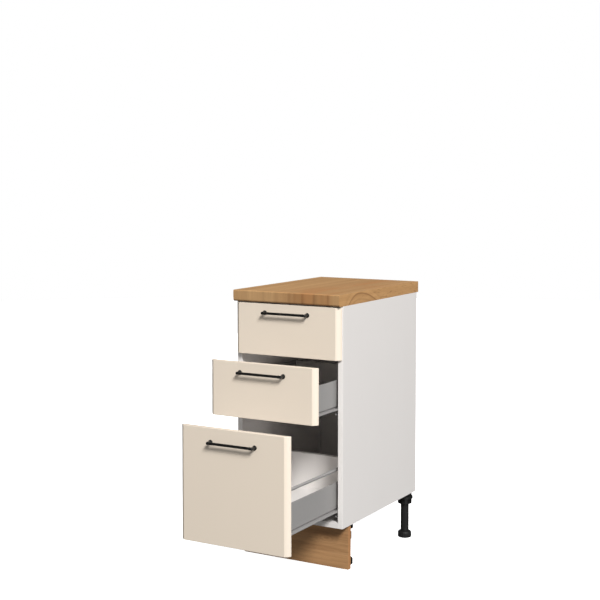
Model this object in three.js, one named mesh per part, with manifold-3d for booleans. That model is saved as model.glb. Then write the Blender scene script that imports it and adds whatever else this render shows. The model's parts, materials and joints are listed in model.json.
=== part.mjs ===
// Base cabinet with three drawers, on adjustable legs behind a plinth board, under its own
// length of worktop. Millimetres; +Z up, +X to the right, the fronts face -Y.
//
// Pieces are laid out from the front edge of the worktop (y = 0) and from the floor (z = 0).
// At the end the whole is moved along Y, so that its origin is the middle of its footprint.
// The middle and the deep drawer stand partly open.

import * as THREE from 'three';
import { mergeVertices } from 'three/addons/utils/BufferGeometryUtils.js';
import Module from 'manifold-3d';

const wasm = await Module();
wasm.setup();

// ---- Driving dimensions ---------------------------------------------------------------

// carcass
const cabinetWidth = 400;
const carcassHeight = 720;
const carcassDepth = 560;
const panelThickness = 18;
const backThickness = 4;
const backInset = 16; // from the back panel to the rear edges of the sides
const grooveDepth = 8; // the back panel is let into the sides and the bottom this far
const railDepth = 100; // front to back, of each of the two rails under the worktop

// gaps
const seatGap = 0.05; // between pieces that are screwed or pushed together
const slipGap = 0.3; // around a piece that slides, turns or is let into another

// worktop
const worktopDepth = 600;
const worktopThickness = 38;
const worktopNose = 6.5; // how far it stands out past the closed fronts
const worktopUpperRadius = 4; // front edge
const worktopLowerRadius = 8;

// drawer fronts
const frontThickness = 18;
const frontStandOff = 1.5; // from a closed front to the carcass
const frontSideMargin = 2;
const frontTopMargin = 3;
const frontBottomOverlap = 2; // the lowest front hangs this far below the carcass
const frontGap = 3;
const topFrontHeight = 170.5;
const middleFrontHeight = 179;
const frontEdgeWidth = 15.5; // bulging chamfer on each upright edge of the face
const frontEdgeRadius = 60; // of the chamfer's bulge
const frontArris = 1.5; // all other edges

// handles: a round bar on two posts
const handleSpacing = 160;
const handleStandOff = 18; // from the face to the bar's axis
const handleBarRadius = 4.3;
const handlePostRadius = 4.5;
const handleKnuckleRadius = 5;
const handleBaseRadius = 7.5;
const handleBaseThickness = 3;

// metal drawer sides, measured up from the underside of their runner lip
const sideHeight = 94;
const sideSheet = 1.5;
const sideLipHeight = 4;
const sideStepHeight = 10; // below this the wall is set back over the runner
const sideStepDepth = 5;
const sideHemHeight = 7;
const sideHemThickness = 4;
const sideShelfWidth = 14; // ledge under the drawer bottom
const bracketWidth = 22; // tab that is screwed to the back of the front
const bracketEndMargin = 6; // from the tab to the top of the side and to the drawer bottom
const boardThickness = 16; // drawer bottom and drawer back
const backBelowSideTop = 2; // low drawers
const galleryRadius = 5;
const galleryCapRadius = 7;
const galleryCapLength = 6;
const galleryAboveSide = 38; // from the top of the metal side to the rail's axis
const backAboveGallery = 6; // the deep drawer's back stands this far above the rail's axis

// runners and their rollers
const runnerSpace = 12.5; // between a metal side and the carcass side
const runnerSheet = 1.2;
const runnerSetback = 2; // from the carcass front edge
const runnerRearSpace = 38; // from the runner's end to the back panel
const runnerTrackLip = 3;
const runnerSideClearance = 0.9;
const lipClearance = 1;
const rollerRadius = 8.5;
const rollerWidth = 5.8;
const rollerAxleRadius = 2.5;
const runnerRollerInset = 14; // from the runner's front end
const drawerRollerInset = 45; // from the drawer side's rear end
const rollerTabHalfWidth = 10;
const extensionLoss = 110; // a drawer opens by its length less this much
const stopHeight = 5;
const stopLength = 4;

// legs and plinth
const legHeight = 161;
const frontLegInset = 66; // from the outside of the carcass to the leg's axis
const frontLegSetback = 145; // from the carcass front edge
const rearLegInset = 27;
const rearLegSetback = 34; // from the carcass rear edge
const legRadius = 14.5;
const legBore = 10.3;
const legBoreDepth = 60;
const socketRadius = 25;
const socketDepth = 38.5;
const socketChamfer = 1.5;
const collarRadius = 28.5; // wider ring round the socket
const collarDrop = 12; // from the bottom panel to the collar
const collarHeight = 9;
const legInSocket = 26;
const footRadius = 24.2;
const footHeight = 23;
const footStemRadius = 10;
const footStemLength = 46;
const plinthThickness = 16;
const plinthFace = 66.5; // from the front edge of the worktop
const plinthFloorGap = 17.5;
const plinthTopGap = 3;
const clipHeight = 25;
const clipAboveFloor = 85;
const clipPlateHalfWidth = 20;
const clipPlateThickness = 3;
const clipNeckHalfWidth = 8;
const clipWall = 3.2;
const clipJawLength = 8; // straight part of each jaw, behind the leg's axis

// the pose in which the drawers stand
const topOpening = 0;
const middleOpening = 152;
const deepOpening = 320;

// facets
const roundSteps = 24;

// ---- Worked out from them ---------------------------------------------------------------

const halfWidth = cabinetWidth / 2;
const innerHalf = halfWidth - panelThickness;
const carcassFront = worktopNose + frontThickness + frontStandOff;
const carcassBack = carcassFront + carcassDepth;
const carcassBottom = legHeight;
const carcassTop = carcassBottom + carcassHeight;
const backPanelBack = carcassBack - backInset;
const backPanelFront = backPanelBack - backThickness;
const railBottom = carcassTop - panelThickness;

const frontLegX = halfWidth - frontLegInset;
const frontLegY = carcassFront + frontLegSetback;
const rearLegX = halfWidth - rearLegInset;
const rearLegY = carcassBack - rearLegSetback;

const frontHalf = halfWidth - frontSideMargin;
const frontFace = worktopNose;
const frontBack = frontFace + frontThickness;

const sideFront = frontBack + seatGap;
const runnerFront = carcassFront + runnerSetback;
const runnerLength = backPanelFront - runnerRearSpace - runnerFront;
const sideLength = runnerLength;
const sideRear = sideFront + sideLength;
const drawerTravel = sideLength - extensionLoss;

const wallOuter = innerHalf - runnerSpace;
const wallInner = wallOuter - sideSheet;
const stepOuter = wallOuter - sideStepDepth;
const stepInner = stepOuter - sideSheet;
const shelfInner = stepInner - sideShelfWidth;
const runnerOuter = innerHalf - seatGap;
const webInner = runnerOuter - runnerSheet;
const channelInner = wallOuter + runnerSideClearance;
const lipOuter = webInner - lipClearance;
const lipInner = lipOuter - sideSheet;
const rollerX = (channelInner + runnerSheet + lipInner) / 2;

// heights measured from the underside of a drawer side's lip
const shelfBottom = sideLipHeight - sideSheet;
const boardTop = sideLipHeight + seatGap + boardThickness;
const rollerAxis = shelfBottom - slipGap - rollerRadius;
const trackTop = rollerAxis - rollerRadius - slipGap;
const trackBottom = trackTop - runnerSheet;
const channelCover = sideLipHeight + lipClearance;
const channelTop = channelCover + runnerSheet;

const runnerRollerY = runnerFront + runnerRollerInset;
const drawerRollerY = sideRear - drawerRollerInset;
const stopFace = drawerRollerY - drawerTravel - rollerRadius - slipGap;

const topFrontBottom = carcassTop - frontTopMargin - topFrontHeight;
const middleFrontBottom = topFrontBottom - frontGap - middleFrontHeight;
const deepFrontBottom = carcassBottom - frontBottomOverlap;
const deepFrontHeight = middleFrontBottom - frontGap - deepFrontBottom;

// handleDrop runs from a front's top edge to the bar, sideRise from its bottom edge to the lip
const drawers = [
  {
    name: 'top', bottom: topFrontBottom, height: topFrontHeight, opening: topOpening,
    handleDrop: 30, sideRise: 20, gallery: false,
  },
  {
    name: 'middle', bottom: middleFrontBottom, height: middleFrontHeight, opening: middleOpening,
    handleDrop: 33, sideRise: 20, gallery: false,
  },
  {
    name: 'deep', bottom: deepFrontBottom, height: deepFrontHeight, opening: deepOpening,
    handleDrop: 44, sideRise: 54, gallery: true,
  },
];

const hands = [{ side: 'left', sign: -1 }, { side: 'right', sign: 1 }];
const legs = [
  { place: 'front_left', x: -frontLegX, y: frontLegY },
  { place: 'front_right', x: frontLegX, y: frontLegY },
  { place: 'rear_left', x: -rearLegX, y: rearLegY },
  { place: 'rear_right', x: rearLegX, y: rearLegY },
];

const frontmost = frontFace - deepOpening - handleStandOff - handleKnuckleRadius;
const footprintMiddle = (frontmost + worktopDepth) / 2;

// ---- Materials --------------------------------------------------------------------------

const finish = (color, roughness, metalness = 0) => () =>
  new THREE.MeshStandardMaterial({ color, roughness, metalness });

const worktopOak = finish(0xb38a5d, 0.5);
const plinthOak = finish(0xa67c52, 0.55);
const whiteBoard = finish(0xe8e4e0, 0.45);
const creamFront = finish(0xe0d3c1, 0.4);
const greySteel = finish(0x9a9794, 0.45, 0.3);
const runnerSteel = finish(0xc9c8c6, 0.45, 0.3);
const blackMetal = finish(0x1b1a1a, 0.35, 0.4);
const blackPlastic = finish(0x2b2b2c, 0.5);
const rollerPlastic = finish(0xe9e8e4, 0.35);

// ---- Shapes -----------------------------------------------------------------------------

const middle = ([low, high]) => (low + high) / 2;
const length = ([low, high]) => high - low;
const mirrored = (range, sign) => (sign > 0 ? range : [-range[1], -range[0]]);

function piece(name, geometry, material) {
  const mesh = new THREE.Mesh(geometry, material());
  mesh.name = name;
  return mesh;
}

function block(xs, ys, zs) {
  const geometry = new THREE.BoxGeometry(length(xs), length(ys), length(zs));
  return geometry.translate(middle(xs), middle(ys), middle(zs));
}

function board(name, xs, ys, zs, material) {
  const mesh = piece(name, new THREE.BoxGeometry(length(xs), length(ys), length(zs)), material);
  mesh.position.set(middle(xs), middle(ys), middle(zs));
  return mesh;
}

const polygon = (points) => new THREE.Shape(points.map(([u, v]) => new THREE.Vector2(u, v)));

function extruded(shape, depth, options = {}) {
  return new THREE.ExtrudeGeometry(shape, { depth, bevelEnabled: false, ...options });
}

// a (y, z) outline run along X
function alongX(shape, [low, high]) {
  const geometry = extruded(shape, high - low);
  return geometry.rotateX(Math.PI / 2).rotateZ(Math.PI / 2).translate(low, 0, 0);
}

// an (x, z) outline run along Y
function alongY(shape, [low, high]) {
  return extruded(shape, high - low).rotateX(Math.PI / 2).translate(0, high, 0);
}

// an (r, z) profile turned round a vertical axis
function turned(profile, steps = roundSteps) {
  const points = profile.map(([r, z]) => new THREE.Vector2(r, z));
  return new THREE.LatheGeometry(points, steps).rotateX(Math.PI / 2);
}

function rodAlongX(radius, [low, high], y, z) {
  const geometry = new THREE.CylinderGeometry(radius, radius, high - low, roundSteps);
  return geometry.rotateZ(Math.PI / 2).translate((low + high) / 2, y, z);
}

function rodAlongY(radius, [low, high], x, z) {
  const geometry = new THREE.CylinderGeometry(radius, radius, high - low, roundSteps);
  return geometry.translate(x, (low + high) / 2, z);
}

function toSolid(geometry) {
  const bare = geometry.clone();
  bare.deleteAttribute('normal');
  bare.deleteAttribute('uv');
  const merged = mergeVertices(bare);
  return new wasm.Manifold(new wasm.Mesh({
    numProp: 3,
    vertProperties: new Float32Array(merged.attributes.position.array),
    triVerts: new Uint32Array(merged.index.array),
  }));
}

function toGeometry(solid) {
  const { vertProperties, triVerts } = solid.getMesh();
  const geometry = new THREE.BufferGeometry();
  geometry.setAttribute('position', new THREE.BufferAttribute(vertProperties, 3));
  geometry.setIndex(new THREE.BufferAttribute(triVerts, 1));
  geometry.computeVertexNormals();
  return geometry;
}

function joined(...geometries) {
  return toGeometry(geometries.map(toSolid).reduce((whole, part) => whole.add(part)));
}

// ---- Carcass and worktop ------------------------------------------------------------------

function sidePanel({ side, sign }) {
  const grooveFront = backPanelFront - slipGap;
  const grooveBack = backPanelBack + slipGap;
  const grooveFloor = innerHalf + grooveDepth;
  const outline = [
    [innerHalf, carcassFront],
    [halfWidth, carcassFront],
    [halfWidth, carcassBack],
    [innerHalf, carcassBack],
    [innerHalf, grooveBack],
    [grooveFloor, grooveBack],
    [grooveFloor, grooveFront],
    [innerHalf, grooveFront],
  ].map(([x, y]) => [x * sign, y]);
  const mesh = piece(`side_panel_${side}`, extruded(polygon(outline), carcassHeight), whiteBoard);
  mesh.position.z = carcassBottom;
  return mesh;
}

function bottomPanel() {
  const top = carcassBottom + panelThickness;
  const grooveFloor = top - grooveDepth;
  const outline = polygon([
    [carcassFront, carcassBottom],
    [carcassBack, carcassBottom],
    [carcassBack, top],
    [backPanelBack + slipGap, top],
    [backPanelBack + slipGap, grooveFloor],
    [backPanelFront - slipGap, grooveFloor],
    [backPanelFront - slipGap, top],
    [carcassFront, top],
  ]);
  const reach = innerHalf - seatGap;
  return piece('bottom_panel', alongX(outline, [-reach, reach]), whiteBoard);
}

function topRails() {
  const xs = [-innerHalf + seatGap, innerHalf - seatGap];
  const zs = [railBottom, carcassTop];
  const rearEnd = backPanelFront - slipGap;
  return [
    board('top_rail_front', xs, [carcassFront, carcassFront + railDepth], zs, whiteBoard),
    board('top_rail_rear', xs, [rearEnd - railDepth, rearEnd], zs, whiteBoard),
  ];
}

function backPanel() {
  const reach = innerHalf + grooveDepth - slipGap;
  const low = carcassBottom + panelThickness - grooveDepth + slipGap;
  return board(
    'back_panel', [-reach, reach], [backPanelFront, backPanelBack], [low, carcassTop], whiteBoard,
  );
}

// the front edge is rounded above and below
function worktop() {
  const low = carcassTop + seatGap;
  const high = low + worktopThickness;
  const upper = worktopUpperRadius;
  const lower = worktopLowerRadius;
  const outline = new THREE.Shape();
  outline.moveTo(worktopDepth, low);
  outline.lineTo(worktopDepth, high);
  outline.absarc(upper, high - upper, upper, Math.PI / 2, Math.PI, false);
  outline.absarc(lower, low + lower, lower, Math.PI, Math.PI * 1.5, false);
  const geometry = alongX(outline, [-halfWidth, halfWidth]);
  return piece('worktop', geometry, worktopOak);
}

// ---- Legs and plinth ----------------------------------------------------------------------

const columnBottom = footHeight + slipGap;
const socketBottom = carcassBottom - socketDepth;
const columnTop = socketBottom + legInSocket;

function legSocket({ place, x, y }) {
  const top = carcassBottom - seatGap;
  const bore = legRadius + slipGap;
  const collarTop = carcassBottom - collarDrop;
  const profile = [
    [0, columnTop + slipGap],
    [bore, columnTop + slipGap],
    [bore, socketBottom],
    [socketRadius - socketChamfer, socketBottom],
    [socketRadius, socketBottom + socketChamfer],
    [socketRadius, collarTop - collarHeight],
    [collarRadius, collarTop - collarHeight],
    [collarRadius, collarTop],
    [socketRadius, collarTop],
    [socketRadius, top],
    [0, top],
  ];
  const mesh = piece(`leg_socket_${place}`, turned(profile), blackPlastic);
  mesh.position.set(x, y, 0);
  return mesh;
}

function legColumn({ place, x, y }) {
  const boreTop = columnBottom + legBoreDepth;
  const profile = [
    [0, boreTop],
    [legBore, boreTop],
    [legBore, columnBottom],
    [legRadius, columnBottom],
    [legRadius, columnTop],
    [0, columnTop],
  ];
  const mesh = piece(`leg_column_${place}`, turned(profile), blackPlastic);
  mesh.position.set(x, y, 0);
  return mesh;
}

// a thick disc with a stem that screws into the column
function legFoot({ place, x, y }) {
  const profile = [
    [0, 0],
    [footRadius * 0.94, 0],
    [footRadius, footHeight * 0.1],
    [footRadius, footHeight * 0.74],
    [footRadius * 0.88, footHeight * 0.93],
    [legRadius, footHeight],
    [footStemRadius, footHeight],
    [footStemRadius, footHeight + footStemLength],
    [0, footHeight + footStemLength],
  ];
  const mesh = piece(`leg_foot_${place}`, turned(profile), blackPlastic);
  mesh.position.set(x, y, 0);
  return mesh;
}

function plinthBoard() {
  return board(
    'plinth_board',
    [-halfWidth, halfWidth],
    [plinthFace, plinthFace + plinthThickness],
    [plinthFloorGap, carcassBottom - plinthTopGap],
    plinthOak,
  );
}

// screwed to the back of the plinth board; its two jaws hold the front leg from the front
function plinthClip({ side, sign }) {
  const plateFront = plinthFace + plinthThickness + seatGap;
  const plateBack = plateFront + clipPlateThickness;
  const inner = legRadius + slipGap;
  const outer = inner + clipWall;
  const jawEnd = frontLegY + clipJawLength;
  const neckAngle = Math.acos(clipNeckHalfWidth / outer);
  const outline = new THREE.Shape();
  outline.moveTo(-clipPlateHalfWidth, plateFront);
  outline.lineTo(clipPlateHalfWidth, plateFront);
  outline.lineTo(clipPlateHalfWidth, plateBack);
  outline.lineTo(clipNeckHalfWidth, plateBack);
  outline.absarc(0, frontLegY, outer, -neckAngle, 0, false);
  outline.lineTo(outer, jawEnd);
  outline.lineTo(inner, jawEnd);
  outline.absarc(0, frontLegY, inner, 0, -Math.PI, true);
  outline.lineTo(-inner, jawEnd);
  outline.lineTo(-outer, jawEnd);
  outline.absarc(0, frontLegY, outer, -Math.PI, neckAngle - Math.PI, false);
  outline.lineTo(-clipNeckHalfWidth, plateBack);
  outline.lineTo(-clipPlateHalfWidth, plateBack);
  const geometry = extruded(outline, clipHeight, { curveSegments: roundSteps / 2 });
  const mesh = piece(`plinth_clip_${side}`, geometry, blackPlastic);
  mesh.position.set(sign * frontLegX, 0, clipAboveFloor);
  return mesh;
}

// ---- Runners ------------------------------------------------------------------------------

// C-shaped track on the carcass side, with a stub for the front roller and a stop in the track
function runner(name, { side, sign }, lipBottom) {
  const profile = [
    [runnerOuter, trackBottom],
    [runnerOuter, channelTop],
    [channelInner, channelTop],
    [channelInner, channelCover],
    [webInner, channelCover],
    [webInner, trackTop],
    [channelInner + runnerSheet, trackTop],
    [channelInner + runnerSheet, trackTop + runnerTrackLip],
    [channelInner, trackTop + runnerTrackLip],
    [channelInner, trackBottom],
  ].map(([x, z]) => [x * sign, z]);
  const track = alongY(polygon(profile), [runnerFront, runnerFront + runnerLength]);
  const stubEnd = rollerX - rollerWidth / 2 - slipGap;
  const stub = rodAlongX(
    rollerAxleRadius,
    mirrored([stubEnd, webInner + runnerSheet / 2], sign),
    runnerRollerY,
    rollerAxis,
  );
  const stop = block(
    mirrored([channelInner + runnerSheet / 2, webInner + runnerSheet / 2], sign),
    [stopFace - stopLength, stopFace],
    [trackTop - runnerSheet / 2, trackTop + stopHeight],
  );
  const mesh = piece(`${name}_runner_${side}`, joined(track, stub, stop), runnerSteel);
  mesh.position.z = lipBottom;
  return mesh;
}

function roller(name, { sign }, y, z) {
  const bore = rollerAxleRadius + slipGap;
  const half = rollerWidth / 2;
  const profile = [
    [bore, -half],
    [rollerRadius, -half],
    [rollerRadius, half],
    [bore, half],
    [bore, -half],
  ];
  const mesh = piece(name, turned(profile), rollerPlastic);
  mesh.rotation.y = Math.PI / 2;
  mesh.position.set(sign * rollerX, y, z);
  return mesh;
}

// ---- Drawers ------------------------------------------------------------------------------

// The upright edges have a wide chamfer that bulges a little; the centre of its arc lies as far
// from the face as from the side. The outline is drawn inside the arris, which the bevel adds.
function drawerFront({ name, bottom, height }) {
  const inset = frontArris;
  const half = frontHalf - inset;
  const back = frontBack - inset;
  const swing = Math.asin(frontEdgeWidth * Math.SQRT1_2 / frontEdgeRadius);
  const reach = frontEdgeRadius * Math.cos(Math.PI / 4 - swing);
  const bend = frontEdgeRadius - inset;
  const lean = Math.acos((reach - inset) / bend);
  const centreX = frontHalf - reach;
  const centreY = frontFace + reach;
  const outline = new THREE.Shape();
  outline.moveTo(half, back);
  outline.lineTo(-half, back);
  outline.absarc(-centreX, centreY, bend, Math.PI + lean, Math.PI * 1.5 - lean, false);
  outline.absarc(centreX, centreY, bend, -Math.PI / 2 + lean, -lean, false);
  const geometry = extruded(outline, height - 2 * inset, {
    bevelEnabled: true,
    bevelSize: inset,
    bevelThickness: inset,
    bevelSegments: 2,
    curveSegments: roundSteps / 3,
  });
  const mesh = piece(`${name}_drawer_front`, geometry, creamFront);
  mesh.position.z = bottom + inset;
  return mesh;
}

function drawerHandle({ name, bottom, height, handleDrop }) {
  const seat = frontFace - seatGap;
  const axis = frontFace - handleStandOff;
  const half = handleSpacing / 2;
  const parts = [rodAlongX(handleBarRadius, [-half, half], axis, 0)];
  for (const x of [-half, half]) {
    const knuckle = new THREE.SphereGeometry(handleKnuckleRadius, roundSteps, roundSteps / 2);
    parts.push(rodAlongY(handlePostRadius, [axis, seat], x, 0));
    parts.push(rodAlongY(handleBaseRadius, [seat - handleBaseThickness, seat], x, 0));
    parts.push(knuckle.translate(x, axis, 0));
  }
  const mesh = piece(`${name}_drawer_handle`, joined(...parts), blackMetal);
  mesh.position.z = bottom + height - handleDrop;
  return mesh;
}

// folded steel side: wall with a hemmed top, ledge for the drawer bottom, lip over the runner,
// tab towards the front, and a stub for the rear roller
function drawerSide({ name }, { side, sign }, lipBottom) {
  const profile = [
    [shelfInner, shelfBottom],
    [lipInner, shelfBottom],
    [lipInner, 0],
    [lipOuter, 0],
    [lipOuter, sideLipHeight],
    [stepOuter, sideLipHeight],
    [stepOuter, sideStepHeight],
    [wallOuter, sideStepHeight],
    [wallOuter, sideHeight],
    [wallOuter - sideHemThickness, sideHeight],
    [wallOuter - sideHemThickness, sideHeight - sideHemHeight],
    [wallInner, sideHeight - sideHemHeight],
    [wallInner, sideStepHeight + sideSheet],
    [stepInner, sideStepHeight + sideSheet],
    [stepInner, sideLipHeight],
    [shelfInner, sideLipHeight],
  ].map(([x, z]) => [x * sign, z]);
  const wall = alongY(polygon(profile), [sideFront, sideRear]);
  const bracket = block(
    mirrored([wallOuter - bracketWidth, wallOuter - sideSheet / 2], sign),
    [sideFront, sideFront + sideSheet],
    [boardTop + bracketEndMargin, sideHeight - bracketEndMargin],
  );
  const tab = block(
    mirrored([stepInner, stepOuter], sign),
    [drawerRollerY - rollerTabHalfWidth, drawerRollerY + rollerTabHalfWidth],
    [rollerAxis - rollerAxleRadius * 2, shelfBottom + sideSheet / 2],
  );
  const stub = rodAlongX(
    rollerAxleRadius,
    mirrored([stepInner + sideSheet / 2, rollerX + rollerWidth / 2 + slipGap], sign),
    drawerRollerY,
    rollerAxis,
  );
  const mesh = piece(`${name}_drawer_side_${side}`, joined(wall, bracket, tab, stub), greySteel);
  mesh.position.z = lipBottom;
  return mesh;
}

function drawerBottom({ name }, lipBottom) {
  const reach = stepInner - slipGap;
  const low = lipBottom + sideLipHeight + seatGap;
  return board(
    `${name}_drawer_bottom`,
    [-reach, reach],
    [sideFront, sideRear],
    [low, low + boardThickness],
    whiteBoard,
  );
}

function drawerBack({ name, gallery }, lipBottom) {
  const reach = wallOuter - sideHemThickness - slipGap;
  const rise = gallery ? galleryAboveSide + backAboveGallery : -backBelowSideTop;
  return board(
    `${name}_drawer_back`,
    [-reach, reach],
    [sideRear - boardThickness, sideRear],
    [lipBottom + boardTop + seatGap, lipBottom + sideHeight + rise],
    whiteBoard,
  );
}

// round rail above a metal side, in a cap at each end, from the front to the drawer back
function galleryRail({ name }, { side, sign }, lipBottom) {
  const x = sign * (wallInner - galleryCapRadius);
  const ends = [sideFront, sideRear - boardThickness - seatGap];
  const geometry = joined(
    rodAlongY(galleryRadius, ends, x, 0),
    rodAlongY(galleryCapRadius, [ends[0], ends[0] + galleryCapLength], x, 0),
    rodAlongY(galleryCapRadius, [ends[1] - galleryCapLength, ends[1]], x, 0),
  );
  const mesh = piece(`${name}_gallery_rail_${side}`, geometry, greySteel);
  mesh.position.z = lipBottom + sideHeight + galleryAboveSide;
  return mesh;
}

// everything that moves with one drawer
function drawer(spec) {
  const lipBottom = spec.bottom + spec.sideRise;
  const group = new THREE.Group();
  group.position.y = -spec.opening;
  group.add(drawerFront(spec), drawerHandle(spec));
  group.add(drawerBottom(spec, lipBottom), drawerBack(spec, lipBottom));
  for (const hand of hands) {
    group.add(drawerSide(spec, hand, lipBottom));
    group.add(roller(
      `${spec.name}_drawer_roller_${hand.side}`, hand, drawerRollerY, lipBottom + rollerAxis,
    ));
    if (spec.gallery) {
      group.add(galleryRail(spec, hand, lipBottom));
    }
  }
  return group;
}

// ---- The cabinet --------------------------------------------------------------------------

const cabinet = new THREE.Group();
cabinet.position.y = -footprintMiddle;
cabinet.add(worktop(), bottomPanel(), backPanel(), ...topRails(), plinthBoard());
for (const hand of hands) {
  cabinet.add(sidePanel(hand), plinthClip(hand));
}
for (const leg of legs) {
  cabinet.add(legSocket(leg), legColumn(leg), legFoot(leg));
}
for (const spec of drawers) {
  const lipBottom = spec.bottom + spec.sideRise;
  cabinet.add(drawer(spec));
  for (const hand of hands) {
    cabinet.add(runner(spec.name, hand, lipBottom));
    cabinet.add(roller(
      `${spec.name}_runner_roller_${hand.side}`, hand, runnerRollerY, lipBottom + rollerAxis,
    ));
  }
}

export default cabinet;
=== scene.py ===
"""Looks of a base cabinet with three drawers under its own length of worktop.

Metres, in the frame's own axes: +Z up, +X to the right, the fronts face -Y. The sizes of
the object's own details are written in millimetres and scaled by MM.
"""

import json
import math

import bmesh
import bpy
from mathutils import Matrix, Vector

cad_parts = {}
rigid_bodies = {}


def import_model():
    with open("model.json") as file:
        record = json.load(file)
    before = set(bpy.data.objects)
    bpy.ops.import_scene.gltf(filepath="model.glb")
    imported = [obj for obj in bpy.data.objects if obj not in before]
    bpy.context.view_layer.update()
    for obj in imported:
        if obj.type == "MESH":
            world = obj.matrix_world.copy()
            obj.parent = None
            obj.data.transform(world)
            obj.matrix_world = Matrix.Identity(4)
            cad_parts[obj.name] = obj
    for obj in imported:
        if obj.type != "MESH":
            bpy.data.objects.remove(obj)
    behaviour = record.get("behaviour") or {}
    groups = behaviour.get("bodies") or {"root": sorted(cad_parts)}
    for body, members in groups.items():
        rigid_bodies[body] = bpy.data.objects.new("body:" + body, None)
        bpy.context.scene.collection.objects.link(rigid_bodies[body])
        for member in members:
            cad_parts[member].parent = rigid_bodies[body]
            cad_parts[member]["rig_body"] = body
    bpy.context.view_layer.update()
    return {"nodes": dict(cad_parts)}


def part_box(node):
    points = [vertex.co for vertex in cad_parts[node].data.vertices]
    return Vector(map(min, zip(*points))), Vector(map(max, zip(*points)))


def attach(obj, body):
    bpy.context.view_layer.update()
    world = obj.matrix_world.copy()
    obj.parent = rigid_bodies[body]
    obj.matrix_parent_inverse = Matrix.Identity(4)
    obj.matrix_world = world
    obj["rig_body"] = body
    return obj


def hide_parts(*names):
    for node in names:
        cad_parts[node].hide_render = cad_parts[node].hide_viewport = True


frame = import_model()
nodes = frame["nodes"]

MM = 0.001
SIDES = {"left": -1, "right": 1}
DRAWERS = ("top", "middle", "deep")
LEGS = ("front_left", "front_right", "rear_left", "rear_right")

top_low, top_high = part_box("worktop")
plinth_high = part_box("plinth_board")[1]


# ---- Colours, linear ------------------------------------------------------------------

OAK_LIGHT = (0.645, 0.382, 0.170)
OAK_MIDDLE = (0.554, 0.317, 0.135)
OAK_DARK = (0.411, 0.216, 0.085)
OAK_STREAK = (0.21, 0.092, 0.034)
OAK_RED = (0.50, 0.235, 0.088)
OAK_PALE_EDGE = (0.50, 0.350, 0.190)
PLINTH_LIGHT = (0.58, 0.335, 0.158)
PLINTH_MIDDLE = (0.48, 0.260, 0.116)
PLINTH_DARK = (0.33, 0.165, 0.069)
PLINTH_END = (0.51, 0.245, 0.100)
CREAM = (0.835, 0.728, 0.604)
WHITE = (0.84, 0.808, 0.785)
GREY = (0.328, 0.318, 0.311)
RUNNER_GREY = (0.22, 0.217, 0.212)
BLACK = (0.0065, 0.0062, 0.0060)
MOULDED = (0.0105, 0.0105, 0.0105)
ROLLER = (0.10, 0.098, 0.094)
ZINC = (0.56, 0.55, 0.53)
FIBREBOARD = (0.27, 0.165, 0.092)
CHIPBOARD = (0.42, 0.29, 0.17)
PAPER = (0.40, 0.34, 0.27)


def shade(color, factor):
    return tuple(c * factor for c in color)


# ---- Material nodes ---------------------------------------------------------------------

def shader_of(name, color, roughness, metallic=0.0, specular=0.5):
    """A new material, its node tree and its shader."""
    material = bpy.data.materials.new(name)
    material.use_nodes = True
    shader = material.node_tree.nodes["Principled BSDF"]
    shader.inputs["Base Color"].default_value = (*color, 1.0)
    shader.inputs["Roughness"].default_value = roughness
    shader.inputs["Metallic"].default_value = metallic
    shader.inputs["Specular IOR Level"].default_value = specular
    return material, material.node_tree, shader


def put(tree, kind, inputs, **settings):
    """A new node. Each of its inputs is a value or the output of another node."""
    made = tree.nodes.new(kind)
    for key, value in settings.items():
        setattr(made, key, value)
    for key, value in inputs.items():
        if isinstance(value, bpy.types.NodeSocket):
            tree.links.new(value, made.inputs[key])
        else:
            made.inputs[key].default_value = value
    return made


def maths(tree, operation, a, b=0.0, clamp=False):
    made = put(tree, "ShaderNodeMath", {0: a, 1: b}, operation=operation, use_clamp=clamp)
    return made.outputs[0]


def plus(tree, a, b, clamp=False):
    return maths(tree, "ADD", a, b, clamp)


def minus(tree, a, b):
    return maths(tree, "SUBTRACT", a, b)


def times(tree, a, b, clamp=False):
    return maths(tree, "MULTIPLY", a, b, clamp)


def ratio(tree, a, b):
    return maths(tree, "DIVIDE", a, b)


def point_of(tree):
    """The point on the object, in metres."""
    return put(tree, "ShaderNodeTexCoord", {}).outputs["Object"]


def parts_of(tree, vector):
    return put(tree, "ShaderNodeSeparateXYZ", {0: vector}).outputs


def joined(tree, x, y, z=0.0):
    return put(tree, "ShaderNodeCombineXYZ", {0: x, 1: y, 2: z}).outputs[0]


def stretched(tree, vector, scale, shift=(0.0, 0.0, 0.0)):
    scaled = put(tree, "ShaderNodeVectorMath", {0: vector, 1: scale}, operation="MULTIPLY")
    shifted = put(tree, "ShaderNodeVectorMath", {0: scaled.outputs[0], 1: shift}, operation="ADD")
    return shifted.outputs[0]


def noise(tree, vector, scale=1.0, detail=3.0, roughness=0.5, distortion=0.0):
    inputs = {"Vector": vector, "Scale": scale, "Detail": detail}
    inputs.update({"Roughness": roughness, "Distortion": distortion})
    return put(tree, "ShaderNodeTexNoise", inputs).outputs["Fac"]


def ramp(tree, factor, stops):
    """stops are pairs of a place from 0 to 1 and the value there."""
    made = put(tree, "ShaderNodeValToRGB", {"Fac": factor})
    elements = made.color_ramp.elements
    while len(elements) < len(stops):
        elements.new(0.5)
    for element, (position, value) in zip(elements, stops):
        element.position = position
        element.color = (value, value, value, 1.0)
    return made.outputs["Color"]


def mixed(tree, factor, a, b):
    """A colour between a and b."""
    a, b = (c if isinstance(c, bpy.types.NodeSocket) else (*c, 1.0) for c in (a, b))
    made = put(tree, "ShaderNodeMix", {0: factor, 6: a, 7: b}, data_type="RGBA")
    return made.outputs[2]


def between(tree, factor, low, high):
    made = put(tree, "ShaderNodeMapRange", {"Value": factor, "To Min": low, "To Max": high})
    return made.outputs[0]


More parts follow.
